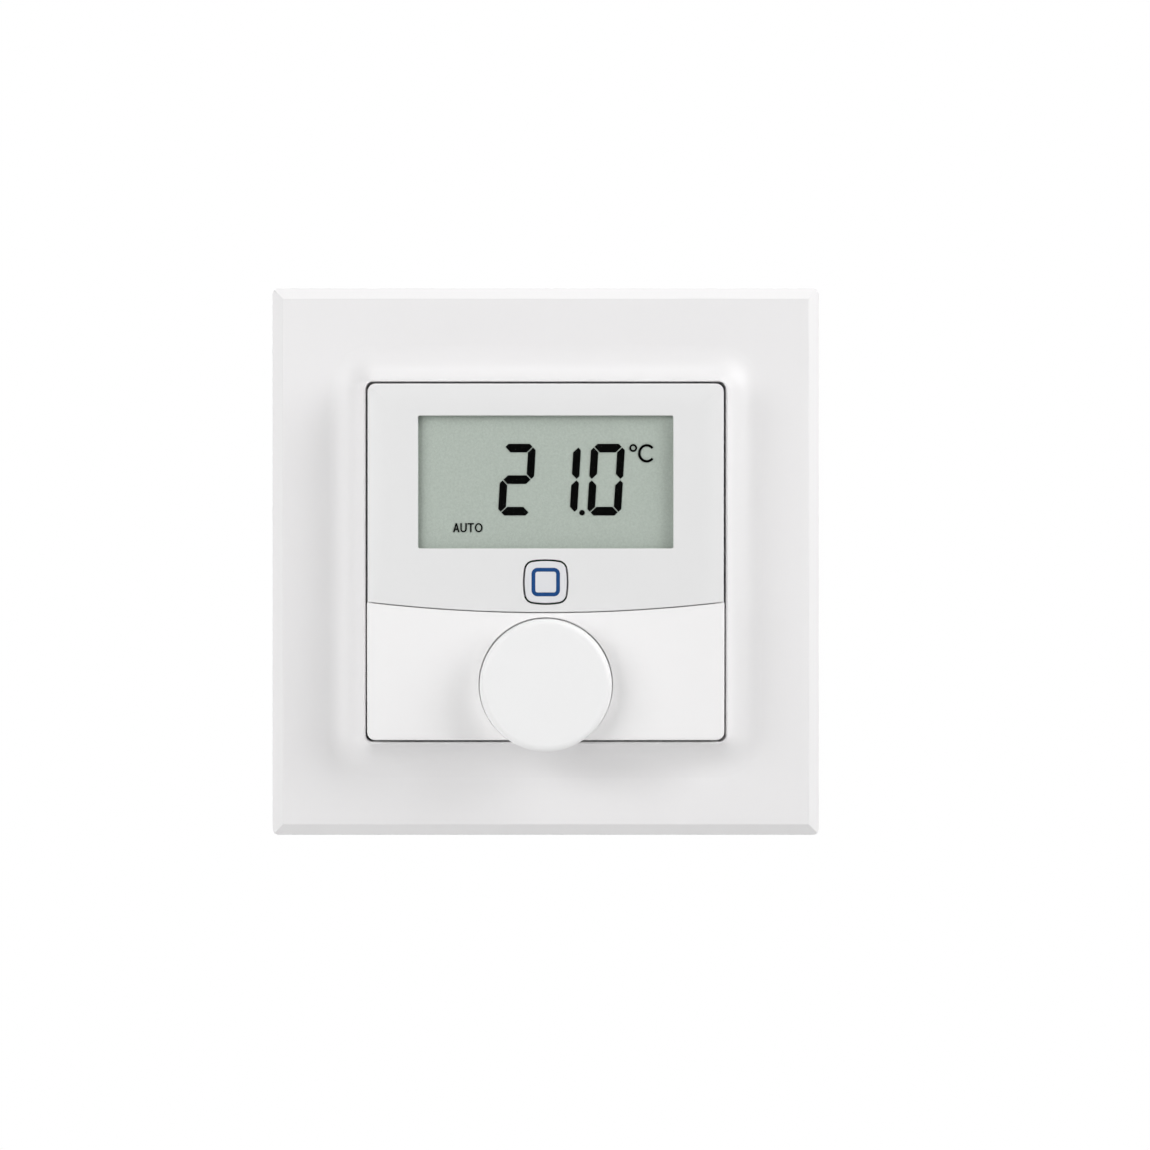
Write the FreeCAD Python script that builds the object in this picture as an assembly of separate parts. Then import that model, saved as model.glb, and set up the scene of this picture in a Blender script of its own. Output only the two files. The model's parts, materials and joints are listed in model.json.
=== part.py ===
"""Wall thermostat for a 55 mm frame system: cover frame, mounting plate and clip-on electronics unit.

Millimetres. +X is right, +Z is up, and the object faces -Y. The origin is the centre of the wall
plane. Most places are given as a depth, which is the distance from the wall towards the room, so
depth d lies at Y = -d.
"""
import FreeCAD, Part
import math
import os
from FreeCAD import Vector

# ---- overall sizes ----
FRAME_SIZE = 86.0            # cover frame, width and height
FRAME_FACE_DEPTH = 14.8      # wall to the flat face of the cover frame
UNIT_SIZE = 55.2             # electronics unit, width and height
UNIT_FACE_DEPTH = 21.5       # wall to the front of the electronics unit
REVEAL_GAP = 0.38            # gap round the unit in the cover frame

# ---- cover frame ----
FRAME_WALL = 2.0
FRAME_CHAMFER = 1.8
FRAME_CORNER_RADIUS = 1.0
COLLAR_RISE = 4.2            # collar's lip above the flat face
COLLAR_SPREAD = 5.6          # width of the concave flank
COLLAR_LIP = 0.32            # flat top of the collar
COLLAR_LIP_RADIUS = 0.14
COLLAR_CORNER_RADIUS = 1.1   # corner of the frame's opening
COLLAR_WALL = 1.6
COLLAR_REAR_DEPTH = 8.0      # where the collar's inner wall ends
FRAME_RIB = 1.4
FRAME_RIB_OFFSET = 20.0
FRAME_RIB_START = 0.5        # wall to the rear end of a rib

# ---- mounting plate ----
PLATE_SIZE = 71.0
PLATE_THICKNESS = 2.0
PLATE_CORNER_RADIUS = 3.0
PLATE_RIM = 1.4
PLATE_RIM_HEIGHT = 2.0
PLATE_CLEARANCE = 0.1        # plate's edge to the frame's ribs
SCREW_CIRCLE = 60.0          # wall screws, on the pitch circle of a flush box
SCREW_HOLE_RADIUS = 1.75
SCREW_SINK_RADIUS = 3.2
SCREW_SINK_DEPTH = 1.1
PLATE_WINDOW = (18.0, 8.0)
PLATE_WINDOW_PLACE = (15.0, 9.0)
POST_RADIUS = 2.0
POST_HEIGHT = 6.0
POST_SLOT = 0.8
POST_X = 14.0
POST_TOP_Z = 21.4
POST_BOTTOM_Z = -20.0
SOCKET_WALL = 1.1
SOCKET_CLEARANCE = 0.1
SOCKET_END_GAP = 0.5

# ---- shells of the electronics unit ----
UNIT_GAP = 0.3               # plate to the back of the unit
UNIT_CORNER_RADIUS = 1.25
INNER_CORNER_RADIUS = 0.4    # inside the front shell
SHELL_WALL = 1.4
LAP_DEPTH = 10.0             # where the front shell meets the rear housing
LAP_CLEARANCE = 0.1
LAP_WALL = 1.2
REAR_INSET = 0.2             # rear housing's side inside the shell's side
REAR_WALL = 1.2
PANEL_THICKNESS = 1.9
PANEL_CROWN_RADIUS = 400.0   # lower panel, crowned from top to bottom
PANEL_EDGE_RADIUS = 0.35
SEAM_BELOW_BUTTON = 1.28     # button's opening to the curved seam under it
SEAM_RADIUS = 235.0
SEAM_GAP = 0.16
COVER_THICKNESS = 1.7
COVER_INSET = 0.22           # display cover's edge inside the shell's edge
COVER_ROLL = 3.4             # width of the rolled border
COVER_DROP = 0.55            # how far the border rolls back
SEAT_THICKNESS = 0.8
VENT_COUNT = 7
VENT_WIDTH = 1.2
VENT_PITCH = 2.4
VENT_X = -15.0

# ---- case screws ----
CASE_SCREW_INSET = 2.0       # middle of a screw to the shell's inner side
CASE_SCREW_RADIUS = 0.9
CASE_SCREW_HEAD_RADIUS = 1.5
CASE_SCREW_HEAD_HEIGHT = 1.1
CASE_SCREW_SINK_DEPTH = 7.9  # back of the unit to the seat of the head
CASE_SCREW_TIP_GAP = 0.3
THREAD_CLEARANCE = 0.03
BOSS_RADIUS = 1.75
HEAD_CLEARANCE = 0.2
SINK_WALL = 1.0
DRIVE_SLOT = 0.5             # width and depth
DRIVE_LENGTH = 1.8

# ---- batteries, size AAA ----
BATTERY_RADIUS = 5.2
BATTERY_LENGTH = 44.5
BATTERY_TIP_RADIUS = 1.9
BATTERY_TIP_HEIGHT = 1.0
BATTERY_EDGE_RADIUS = 0.5
BAY_CENTRE_Z = 5.0
BAY_CLEARANCE = 0.35
BAY_DIVIDER = 0.8
BAY_WALL = 1.0
CONTACT_THICKNESS = 0.35
CONTACT_SIZE = 8.0
SPRING_WIRE_RADIUS = 0.3
SPRING_RADIUS = 2.6
SPRING_TURNS = 3
SPRING_SPACE = 2.9
SPRING_END_GAP = 0.04

# ---- circuit board ----
BOARD_THICKNESS = 1.2
BOARD_CLEARANCE = 0.35       # board's edge to the shell

# ---- display ----
WINDOW_WIDTH = 39.4
WINDOW_HEIGHT = 20.5
WINDOW_Z = 12.3
WINDOW_CORNER_RADIUS = 0.25
WINDOW_EDGE_RADIUS = 0.12
WINDOW_LIP = 0.45            # cover's thickness in front of the display
WINDOW_LIP_GAP = 0.05
POCKET_CLEARANCE = 0.2       # holder to the shells
GLASS_MARGIN = 0.8
GLASS_LEDGE = 1.5            # front glass reaches past the rear glass for the contact strip
GLASS_THICKNESS = 0.4
CELL_GAP = 0.06
CELL_SEAL = 0.6
FILM_MARGIN = 0.1
FILM_THICKNESS = 0.12
HOLDER_WALL = 0.9
HOLDER_LEDGE = 0.8
HOLDER_CLEARANCE = 0.05
GUIDE_THICKNESS = 1.0
STRIP_WIDTH = 1.1
STRIP_END_INSET = 1.0
BACKLIGHT_COUNT = 4
BACKLIGHT_END_GAP = 2.95     # outer LEDs to the ends of the holder's light well
LED_SIZE = (1.6, 0.8, 0.6)

# ---- characters of the display, as shares of the window's width and height ----
SEGMENT_THICKNESS = 0.05
SLANT = 0.06                 # sideways lean of a digit per height
DIGIT_HEIGHT = 0.541 * WINDOW_HEIGHT
DIGIT_WIDTH = 0.133 * WINDOW_WIDTH
DIGIT_BAR = 0.065 * WINDOW_HEIGHT      # stroke of a level segment
DIGIT_POST = 0.0295 * WINDOW_WIDTH     # stroke of an upright segment
DIGIT_BREAK = 0.0055 * WINDOW_HEIGHT
DIGIT_TIP_SHARE = 0.15       # how far a corner's tip lies outside the stroke's middle
DIGIT_Z = WINDOW_Z - 0.2515 * WINDOW_HEIGHT
DIGIT_LEFT_X = (-0.188 * WINDOW_WIDTH, -0.0105 * WINDOW_WIDTH, 0.162 * WINDOW_WIDTH)
POINT_RADIUS = 0.021 * WINDOW_HEIGHT
POINT_X = 0.1425 * WINDOW_WIDTH
DEGREE_RADIUS = 0.0295 * WINDOW_HEIGHT
DEGREE_STROKE = 0.0138 * WINDOW_HEIGHT
DEGREE_X = 0.3435 * WINDOW_WIDTH
DEGREE_Z = WINDOW_Z + 0.258 * WINDOW_HEIGHT
UNIT_LETTER_LEFT_X = 0.3625 * WINDOW_WIDTH
UNIT_LETTER_Z = WINDOW_Z + 0.148 * WINDOW_HEIGHT
UNIT_LETTER_SIZE = (0.0685 * WINDOW_WIDTH, 0.1395 * WINDOW_HEIGHT)
UNIT_LETTER_STROKE = 0.0185 * WINDOW_HEIGHT
UNIT_LETTER_OPENING = 40.0   # half angle of the letter's opening, in degrees
MODE_TEXT_LEFT_X = -0.3635 * WINDOW_WIDTH
MODE_TEXT_Z = WINDOW_Z - 0.378 * WINDOW_HEIGHT
MODE_LETTER_SIZE = (0.0245 * WINDOW_WIDTH, 0.0688 * WINDOW_HEIGHT)
MODE_LETTER_PITCH = 0.0285 * WINDOW_WIDTH
MODE_LETTER_STROKE = 0.0098 * WINDOW_HEIGHT
MODE_ROUND_WIDTH = 0.0295 * WINDOW_WIDTH
BAND_STEPS = 24              # sides of half a round letter

# ---- button ----
BUTTON_BELOW_HOLDER = 0.2
BUTTON_SIZE = 6.5
BUTTON_BOW_RADIUS = 12.5
BUTTON_CORNER_RADIUS = 1.25
BUTTON_GAP = 0.27
BUTTON_PROUD = 0.1
BUTTON_FLANGE = 0.75         # overlap of the ears behind the cover
BUTTON_EAR_HEIGHT = 4.5
BUTTON_FLANGE_THICKNESS = 0.8
BUTTON_FLANGE_GAP = 0.2
BUTTON_FLANGE_CLEARANCE = 0.3
BUTTON_TRAVEL = 0.35
BUTTON_EDGE_RADIUS = 0.2
RING_SIZE = 4.4
RING_WIDTH = 0.6
RING_CORNER_RADIUS = 0.95
RING_DEPTH = 1.2
SWITCH_SIZE = 4.5
SWITCH_BODY_HEIGHT = 2.0
PLUNGER_RADIUS = 1.1
PLUNGER_PROUD = 0.7
PLUNGER_INSIDE = 0.6
SLIDING_CLEARANCE = 0.05
END_CLEARANCE = 0.05

# ---- setting knob and encoder ----
KNOB_Z = -18.95
KNOB_RADIUS = 10.15
KNOB_PROJECTION = 4.0        # knob's face in front of the unit
KNOB_HUB_GAP = 0.65          # unit's face to the hub and ribs of the knob
KNOB_SKIRT_SINK = 0.25       # knob's skirt behind the unit's face
KNOB_WELL_GAP = 0.2          # skirt to the wall of its recess
KNOB_WELL_CLEARANCE = 0.2    # skirt to the recess's floor with the knob pressed
KNOB_TRAVEL = 0.4
KNOB_WALL = 1.3
KNOB_EDGE_RADIUS = 1.0
KNOB_HUB_WALL = 1.5
KNOB_RIBS = 6
KNOB_RIB_WIDTH = 0.9
SHAFT_RADIUS = 2.0
SHAFT_FLAT = 0.5
SHAFT_FIT = 0.02
BUSHING_WALL = 1.0
BUSHING_PROUD = 0.05
BUSHING_CLEARANCE = 0.3
RUNNING_CLEARANCE = 0.05
ENCODER_SIZE = 11.7
ENCODER_BASE_HEIGHT = 3.3
ENCODER_COVER = 0.4
ROTOR_RADIUS = 4.0
ROTOR_THICKNESS = 0.7
ROTOR_CLEARANCE = 0.3
PUSH_RADIUS = 1.5
PUSH_HEIGHT = 0.6
PUSH_FLOOR = 0.35

# ---- small parts on the board ----
CHIP_SIZE = (7.0, 7.0, 1.0)
CHIP_PLACE = (-15.0, -10.0)
CHIP_PINS = 10
PIN_WIDTH = 0.3
PIN_LENGTH = 0.9
PIN_THICKNESS = 0.2
PIN_PITCH = 0.6
RADIO_BOARD = (11.0, 14.0, 0.8)
RADIO_PLACE = (14.5, -12.0)
RADIO_SHIELD = (9.4, 10.0, 1.6)
CAPACITOR_RADIUS = 2.4
CAPACITOR_HEIGHT = 3.4
CAPACITOR_PLACE = (-10.2, -19.5)
SENSOR_SIZE = (2.0, 2.0, 0.75)
SENSOR_PLACE = (-19.0, -21.5)
SENSOR_SLOT = 0.8
SENSOR_SLOT_GAP = 1.0
ANTENNA_RADIUS = 0.4
ANTENNA_BEND = 2.5
ANTENNA_RISE = 1.6           # board to the middle of the wire
ANTENNA_X = 24.2
ANTENNA_TOP_Z = 20.5
ANTENNA_INSET = 1.0          # foot of the wire below the top edge of the radio module
PASSIVE_SIZE = (1.6, 0.8, 0.5)
PASSIVE_COUNT = 5
PASSIVE_PITCH = 2.2
PASSIVE_ROWS = [(-19.4, -16.2), (10.2, -2.6)]

# ---- heights that follow from the sizes above ----
GLASS_BOTTOM = WINDOW_Z - WINDOW_HEIGHT / 2 - GLASS_MARGIN
GLASS_TOP = WINDOW_Z + WINDOW_HEIGHT / 2 + GLASS_MARGIN
FRONT_GLASS_TOP = GLASS_TOP + GLASS_LEDGE
HOLDER_BOTTOM = GLASS_BOTTOM - HOLDER_CLEARANCE - HOLDER_WALL
HOLDER_TOP = FRONT_GLASS_TOP + HOLDER_CLEARANCE + HOLDER_WALL
BUTTON_Z = HOLDER_BOTTOM - BUTTON_BELOW_HOLDER - BUTTON_SIZE / 2
SEAM_MID_Z = BUTTON_Z - BUTTON_SIZE / 2 - BUTTON_GAP - SEAM_BELOW_BUTTON

# ---- depths that follow ----
UNIT_REAR = PLATE_THICKNESS + UNIT_GAP
CELL_DEPTH = UNIT_REAR + BAY_CLEARANCE + BATTERY_RADIUS
BAY_CEILING = CELL_DEPTH + BATTERY_RADIUS + BAY_CLEARANCE
BOARD_REAR = BAY_CEILING + BAY_WALL
BOARD_FRONT = BOARD_REAR + BOARD_THICKNESS
COVER_REAR = UNIT_FACE_DEPTH - COVER_THICKNESS
SEAT_REAR = COVER_REAR - SEAT_THICKNESS
PANEL_REAR = UNIT_FACE_DEPTH - PANEL_THICKNESS
COLLAR_TOP = FRAME_FACE_DEPTH + COLLAR_RISE
KNOB_FACE = UNIT_FACE_DEPTH + KNOB_PROJECTION
KNOB_HUB_REAR = UNIT_FACE_DEPTH + KNOB_HUB_GAP
KNOB_REAR = UNIT_FACE_DEPTH - KNOB_SKIRT_SINK
KNOB_WELL_FLOOR = KNOB_REAR - KNOB_TRAVEL - KNOB_WELL_CLEARANCE
CASE_SCREW_SEAT = UNIT_REAR + CASE_SCREW_SINK_DEPTH
CASE_SCREW_TIP = SEAT_REAR - CASE_SCREW_TIP_GAP

# ---- plan sizes that follow ----
UNIT_HALF = UNIT_SIZE / 2
SHELL_INNER = UNIT_SIZE - 2 * SHELL_WALL
LAP_SIZE = SHELL_INNER - 2 * LAP_CLEARANCE
BOARD_SIZE = SHELL_INNER - 2 * BOARD_CLEARANCE
FRAME_OPENING = UNIT_SIZE + 2 * REVEAL_GAP
CELL_PITCH = 2 * (BATTERY_RADIUS + BAY_CLEARANCE) + BAY_DIVIDER
BAY_LENGTH = BATTERY_LENGTH + SPRING_SPACE + 2 * CONTACT_THICKNESS
BAY_HEIGHT = CELL_PITCH + 2 * (BATTERY_RADIUS + BAY_CLEARANCE)
CELL_ROWS = [BAY_CENTRE_Z + CELL_PITCH / 2, BAY_CENTRE_Z - CELL_PITCH / 2]
GLASS_WIDTH = WINDOW_WIDTH + 2 * GLASS_MARGIN
POSTS = [(side * POST_X, z) for side in (-1, 1) for z in (POST_TOP_Z, POST_BOTTOM_Z)]
CASE_SCREW_OFFSET = SHELL_INNER / 2 - CASE_SCREW_INSET
CORNERS = [(sx * CASE_SCREW_OFFSET, sz * CASE_SCREW_OFFSET) for sx in (-1, 1) for sz in (-1, 1)]
LEDGE_Z = (GLASS_TOP + FRONT_GLASS_TOP) / 2
HOLDER_HALF = GLASS_WIDTH / 2 + HOLDER_CLEARANCE + HOLDER_WALL
LIGHT_WELL_HALF = GLASS_WIDTH / 2 + HOLDER_CLEARANCE - HOLDER_LEDGE
BACKLIGHT_X = LIGHT_WELL_HALF - BACKLIGHT_END_GAP - LED_SIZE[0] / 2

# ---- display stack, from the cover's lip back to the board ----
POCKET_FRONT = UNIT_FACE_DEPTH - WINDOW_LIP
FRONT_FILM_FRONT = POCKET_FRONT - WINDOW_LIP_GAP
FRONT_GLASS_FRONT = FRONT_FILM_FRONT - FILM_THICKNESS
CELL_FRONT = FRONT_GLASS_FRONT - GLASS_THICKNESS
CELL_REAR = CELL_FRONT - CELL_GAP
REAR_FILM_FRONT = CELL_REAR - GLASS_THICKNESS
GUIDE_FRONT = REAR_FILM_FRONT - FILM_THICKNESS
GUIDE_REAR = GUIDE_FRONT - GUIDE_THICKNESS

# ---- button and switch ----
FLANGE_FRONT = COVER_REAR - BUTTON_FLANGE_GAP
FLANGE_REAR = FLANGE_FRONT - BUTTON_FLANGE_THICKNESS
SWITCH_FRONT = BOARD_FRONT + SWITCH_BODY_HEIGHT
PLUNGER_FRONT = SWITCH_FRONT + PLUNGER_PROUD
BUTTON_FACE = UNIT_FACE_DEPTH + BUTTON_PROUD
RING_REAR = BUTTON_FACE - RING_DEPTH

# ---- encoder, from the board forwards ----
ENCODER_BASE_FRONT = BOARD_FRONT + ENCODER_BASE_HEIGHT
ENCODER_FRONT = ENCODER_BASE_FRONT + ENCODER_COVER
BUSHING_RADIUS = SHAFT_RADIUS + RUNNING_CLEARANCE + BUSHING_WALL
BUSHING_FRONT = UNIT_FACE_DEPTH + BUSHING_PROUD
PUSH_REAR = BOARD_FRONT + PUSH_FLOOR + KNOB_TRAVEL + END_CLEARANCE
SHAFT_REAR = PUSH_REAR + PUSH_HEIGHT
ROTOR_FRONT = ENCODER_BASE_FRONT - END_CLEARANCE
SHAFT_FRONT = KNOB_FACE - KNOB_WALL - SHAFT_FIT

OVERCUT = 1.0                # how far a cutting body runs past what it cuts


# ---------------------------------------------------------------- shared shapes
def box(x0, x1, d0, d1, z0, z1):
    """Block between two depths."""
    return Part.makeBox(x1 - x0, d1 - d0, z1 - z0, Vector(x0, -d1, z0))


def block(width, height, d0, d1, x=0.0, z=0.0):
    """Block centred on (x, z)."""
    return box(x - width / 2, x + width / 2, d0, d1, z - height / 2, z + height / 2)


def rod(radius, d0, d1, x=0.0, z=0.0):
    """Cylinder along the depth."""
    return Part.makeCylinder(radius, d1 - d0, Vector(x, -d1, z), Vector(0, 1, 0))


def cone(r0, r1, d0, d1, x=0.0, z=0.0):
    """Cone along the depth, radius r0 at depth d0 and r1 at d1."""
    return Part.makeCone(r0, r1, d1 - d0, Vector(x, -d0, z), Vector(0, -1, 0))


def rounded_block(width, height, radius, d0, d1, x=0.0, z=0.0):
    """Block whose four edges along the depth are rounded."""
    return round_long_edges(block(width, height, d0, d1, x, z), radius)


def round_long_edges(shape, radius):
    """Rounds the straight edges that run along the depth."""
    edges = [e for e in shape.Edges if runs_along_depth(e)]
    return shape.makeFillet(radius, edges)


def runs_along_depth(edge):
    bounds = edge.BoundBox
    return bounds.XLength < 1e-3 and bounds.ZLength < 1e-3


def at_depth(edge, depth):
    """True for an edge that lies wholly at this depth."""
    bounds = edge.BoundBox
    return abs(bounds.YMin + depth) < 1e-3 and abs(bounds.YMax + depth) < 1e-3


def union(*shapes):
    """Fused and cleaned shapes."""
    return shapes[0].multiFuse(list(shapes[1:])).removeSplitter()


def face_from(edges):
    """Flat face bounded by loose edges."""
    return Part.Face(Part.Wire(Part.__sortEdges__(edges)))


def arc(start, middle, end):
    return Part.Arc(start, middle, end).toShape()


def line(start, end):
    return Part.LineSegment(start, end).toShape()


def squircle(size, bow_radius, corner_radius, d0, d1, x=0.0, z=0.0):
    """Square prism with outward bowed sides and rounded corners."""
    half = size / 2
    offset = half - bow_radius
    corner = (offset + math.sqrt(2 * bow_radius ** 2 - offset ** 2)) / 2
    edges = []
    for turn in range(4):
        angle = math.pi / 2 * turn
        cos = round(math.cos(angle))
        sin = round(math.sin(angle))
        points = [
            Vector(x + u * cos - v * sin, -d0, z + u * sin + v * cos)
            for u, v in ((corner, -corner), (half, 0), (corner, corner))
        ]
        edges.append(arc(*points))
    prism = face_from(edges).extrude(Vector(0, d0 - d1, 0))
    return round_long_edges(prism, corner_radius)


# ---------------------------------------------------------------- cover frame
def collar_flank():
    """Ring with a concave outer flank, rising from the frame's face to the collar's lip."""
    half = FRAME_OPENING / 2
    lip = half + COLLAR_LIP
    foot = lip + COLLAR_SPREAD
    turn = 2 * math.atan(COLLAR_RISE / COLLAR_SPREAD)
    radius = COLLAR_SPREAD / math.sin(turn)
    centre = (foot, FRAME_FACE_DEPTH + radius)
    mid = (centre[0] - radius * math.sin(turn / 2), centre[1] - radius * math.cos(turn / 2))
    root = FRAME_FACE_DEPTH - FRAME_WALL / 2

    def at(r, d):
        return Vector(r, -d, 0)

    inner = half - COLLAR_LIP / 2
    profile = face_from([
        line(at(inner, root), at(foot, root)),
        line(at(foot, root), at(foot, FRAME_FACE_DEPTH)),
        arc(at(foot, FRAME_FACE_DEPTH), at(*mid), at(lip, COLLAR_TOP)),
        line(at(lip, COLLAR_TOP), at(inner, COLLAR_TOP)),
        line(at(inner, COLLAR_TOP), at(inner, root)),
    ])
    return sweep_round_square(profile, lip, COLLAR_CORNER_RADIUS + COLLAR_LIP)


def sweep_round_square(profile, half, radius):
    """Sweeps a profile drawn in the X-depth plane round a square of this half size and corner radius."""
    flat = half - radius
    pieces = []
    for turn in range(4):
        straight = profile.copy()
        straight.translate(Vector(0, 0, -flat))
        side = straight.extrude(Vector(0, 0, 2 * flat))
        corner = profile.copy()
        corner.translate(Vector(0, 0, flat))
        corner = corner.revolve(Vector(flat, 0, flat), Vector(0, -1, 0), 90)
        for piece in (side, corner):
            piece.rotate(Vector(0, 0, 0), Vector(0, -1, 0), 90 * turn)
            pieces.append(piece)
    return union(*pieces)


def cover_frame():
    shell = rounded_block(FRAME_SIZE, FRAME_SIZE, FRAME_CORNER_RADIUS, 0, FRAME_FACE_DEPTH)
    for turn in range(4):
        wedge = chamfer_wedge()
        wedge.rotate(Vector(0, 0, 0), Vector(0, -1, 0), 90 * turn)
        shell = shell.cut(wedge)
    inside = FRAME_SIZE - 2 * FRAME_WALL
    shell = shell.cut(block(inside, inside, -OVERCUT, FRAME_FACE_DEPTH - FRAME_WALL))
    collar_outer = FRAME_OPENING + 2 * COLLAR_WALL
    tube = rounded_block(
        collar_outer, collar_outer, COLLAR_CORNER_RADIUS + COLLAR_WALL,
        COLLAR_REAR_DEPTH, FRAME_FACE_DEPTH - FRAME_WALL / 2,
    )
    shell = union(shell, tube, collar_flank(), *frame_ribs())
    opening = rounded_block(
        FRAME_OPENING, FRAME_OPENING, COLLAR_CORNER_RADIUS, -OVERCUT, COLLAR_TOP + OVERCUT)
    shell = shell.cut(opening)
    lip = [e for e in shell.Edges if at_depth(e, COLLAR_TOP)]
    return shell.makeFillet(COLLAR_LIP_RADIUS, lip)


def chamfer_wedge():
    """What the chamfer takes off the right-hand front edge of the frame."""
    half = FRAME_SIZE / 2
    start = -half - OVERCUT
    low = FRAME_FACE_DEPTH - FRAME_CHAMFER - OVERCUT
    high = FRAME_FACE_DEPTH + OVERCUT
    points = [
        Vector(half + OVERCUT, -low, start),
        Vector(half + OVERCUT, -high, start),
        Vector(half - FRAME_CHAMFER - OVERCUT, -high, start),
    ]
    face = Part.Face(Part.makePolygon(points + points[:1]))
    return face.extrude(Vector(0, 0, FRAME_SIZE + 2 * OVERCUT))


def frame_ribs():
    """Ribs inside the frame that centre it on the mounting plate and rest on the plate's rim."""
    inner_wall = FRAME_SIZE / 2 - FRAME_WALL
    plate_edge = PLATE_SIZE / 2 + PLATE_CLEARANCE
    seat = PLATE_THICKNESS + PLATE_RIM_HEIGHT
    collar_outer = FRAME_OPENING / 2 + COLLAR_WALL
    ribs = []
    for turn in range(4):
        for offset in (-FRAME_RIB_OFFSET, FRAME_RIB_OFFSET):
            z0 = offset - FRAME_RIB / 2
            z1 = offset + FRAME_RIB / 2
            low = box(plate_edge, inner_wall + FRAME_WALL / 2, FRAME_RIB_START, seat, z0, z1)
            high = box(
                plate_edge - PLATE_RIM, inner_wall + FRAME_WALL / 2,
                seat, FRAME_FACE_DEPTH - FRAME_WALL / 2, z0, z1)
            web = box(
                collar_outer - COLLAR_WALL / 2, inner_wall, COLLAR_REAR_DEPTH,
                FRAME_FACE_DEPTH - FRAME_WALL / 2, z0, z1)
            for piece in (low, high, web):
                piece.rotate(Vector(0, 0, 0), Vector(0, -1, 0), 90 * turn)
                ribs.append(piece)
    return ribs


# ---------------------------------------------------------------- mounting plate
def mounting_plate():
    """Plate screwed to the wall, with a rim for the cover frame and four posts for the unit."""
    plate = rounded_block(PLATE_SIZE, PLATE_SIZE, PLATE_CORNER_RADIUS, 0, PLATE_THICKNESS + PLATE_RIM_HEIGHT)
    inside = PLATE_SIZE - 2 * PLATE_RIM
    plate = plate.cut(rounded_block(
        inside, inside, PLATE_CORNER_RADIUS - PLATE_RIM,
        PLATE_THICKNESS, PLATE_THICKNESS + PLATE_RIM_HEIGHT + OVERCUT))
    posts = [mounting_post(x, z) for x, z in POSTS]
    plate = union(plate, *posts)
    cuts = []
    for turn in range(4):
        angle = math.pi / 2 * turn
        x = SCREW_CIRCLE / 2 * math.cos(angle)
        z = SCREW_CIRCLE / 2 * math.sin(angle)
        cuts.append(rod(SCREW_HOLE_RADIUS, -OVERCUT, PLATE_THICKNESS + OVERCUT, x, z))
        cuts.append(cone(
            SCREW_HOLE_RADIUS, SCREW_SINK_RADIUS,
            PLATE_THICKNESS - SCREW_SINK_DEPTH, PLATE_THICKNESS, x, z))
    for sx in (-1, 1):
        for sz in (-1, 1):
            cuts.append(rounded_block(
                PLATE_WINDOW[0], PLATE_WINDOW[1], PLATE_RIM, -OVERCUT, PLATE_THICKNESS + OVERCUT,
                sx * PLATE_WINDOW_PLACE[0], sz * PLATE_WINDOW_PLACE[1]))
    return plate.cut(Part.makeCompound(cuts))


def mounting_post(x, z):
    """Slotted post with a chamfered tip."""
    top = PLATE_THICKNESS + POST_HEIGHT
    post = rod(POST_RADIUS, PLATE_THICKNESS / 2, top, x, z)
    tip = [e for e in post.Edges if at_depth(e, top)]
    post = post.makeChamfer(POST_SLOT / 2, tip)
    slot_length = 2 * POST_RADIUS + OVERCUT
    slot = block(POST_SLOT, slot_length, PLATE_THICKNESS + POST_SLOT, top + OVERCUT, x, z)
    return post.cut(slot)


# ---------------------------------------------------------------- rear housing
def rear_housing():
    """Tray with two battery bays that open towards the wall."""
    side = UNIT_SIZE - 2 * REAR_INSET
    tray = rounded_block(side, side, UNIT_CORNER_RADIUS, UNIT_REAR, LAP_DEPTH)
    tongue_corner = INNER_CORNER_RADIUS + LAP_CLEARANCE
    tongue = rounded_block(LAP_SIZE, LAP_SIZE, tongue_corner, UNIT_REAR, BOARD_REAR)
    tray = union(tray, tongue)
    inside = LAP_SIZE - 2 * LAP_WALL
    tray = tray.cut(block(inside, inside, UNIT_REAR + REAR_WALL, BOARD_REAR + OVERCUT))
    bays = block(
        BAY_LENGTH + 2 * BAY_WALL, BAY_HEIGHT + 2 * BAY_WALL, UNIT_REAR, BOARD_REAR, 0, BAY_CENTRE_Z)
    socket_top = PLATE_THICKNESS + POST_HEIGHT + SOCKET_END_GAP
    sockets = [
        rod(POST_RADIUS + SOCKET_CLEARANCE + SOCKET_WALL, UNIT_REAR, socket_top + SOCKET_WALL, x, z)
        for x, z in POSTS
    ]
    sinks = [
        rod(CASE_SCREW_HEAD_RADIUS + HEAD_CLEARANCE + SINK_WALL, UNIT_REAR, BOARD_REAR, x, z)
        for x, z in CORNERS
    ]
    envelope = rounded_block(LAP_SIZE, LAP_SIZE, tongue_corner, UNIT_REAR, BOARD_REAR)
    sinks = [sink.common(envelope) for sink in sinks]
    tray = union(tray, bays, *sockets, *sinks)
    cuts = []
    for z in CELL_ROWS:
        height = 2 * (BATTERY_RADIUS + BAY_CLEARANCE)
        cuts.append(block(BAY_LENGTH, height, UNIT_REAR - OVERCUT, BAY_CEILING, 0, z))
    for x, z in POSTS:
        cuts.append(rod(POST_RADIUS + SOCKET_CLEARANCE, UNIT_REAR - OVERCUT, socket_top, x, z))
    for x, z in CORNERS:
        cuts.append(rod(CASE_SCREW_HEAD_RADIUS + HEAD_CLEARANCE, UNIT_REAR - OVERCUT, CASE_SCREW_SEAT, x, z))
        cuts.append(rod(CASE_SCREW_RADIUS + HEAD_CLEARANCE, UNIT_REAR, BOARD_REAR + OVERCUT, x, z))
    window = block(
        CONTACT_THICKNESS, BAY_DIVIDER + OVERCUT, UNIT_REAR + BAY_WALL, BAY_CEILING,
        BAY_LENGTH / 2 - CONTACT_THICKNESS / 2, BAY_CENTRE_Z)
    cuts.append(window)
    return tray.cut(Part.makeCompound(cuts))


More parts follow.
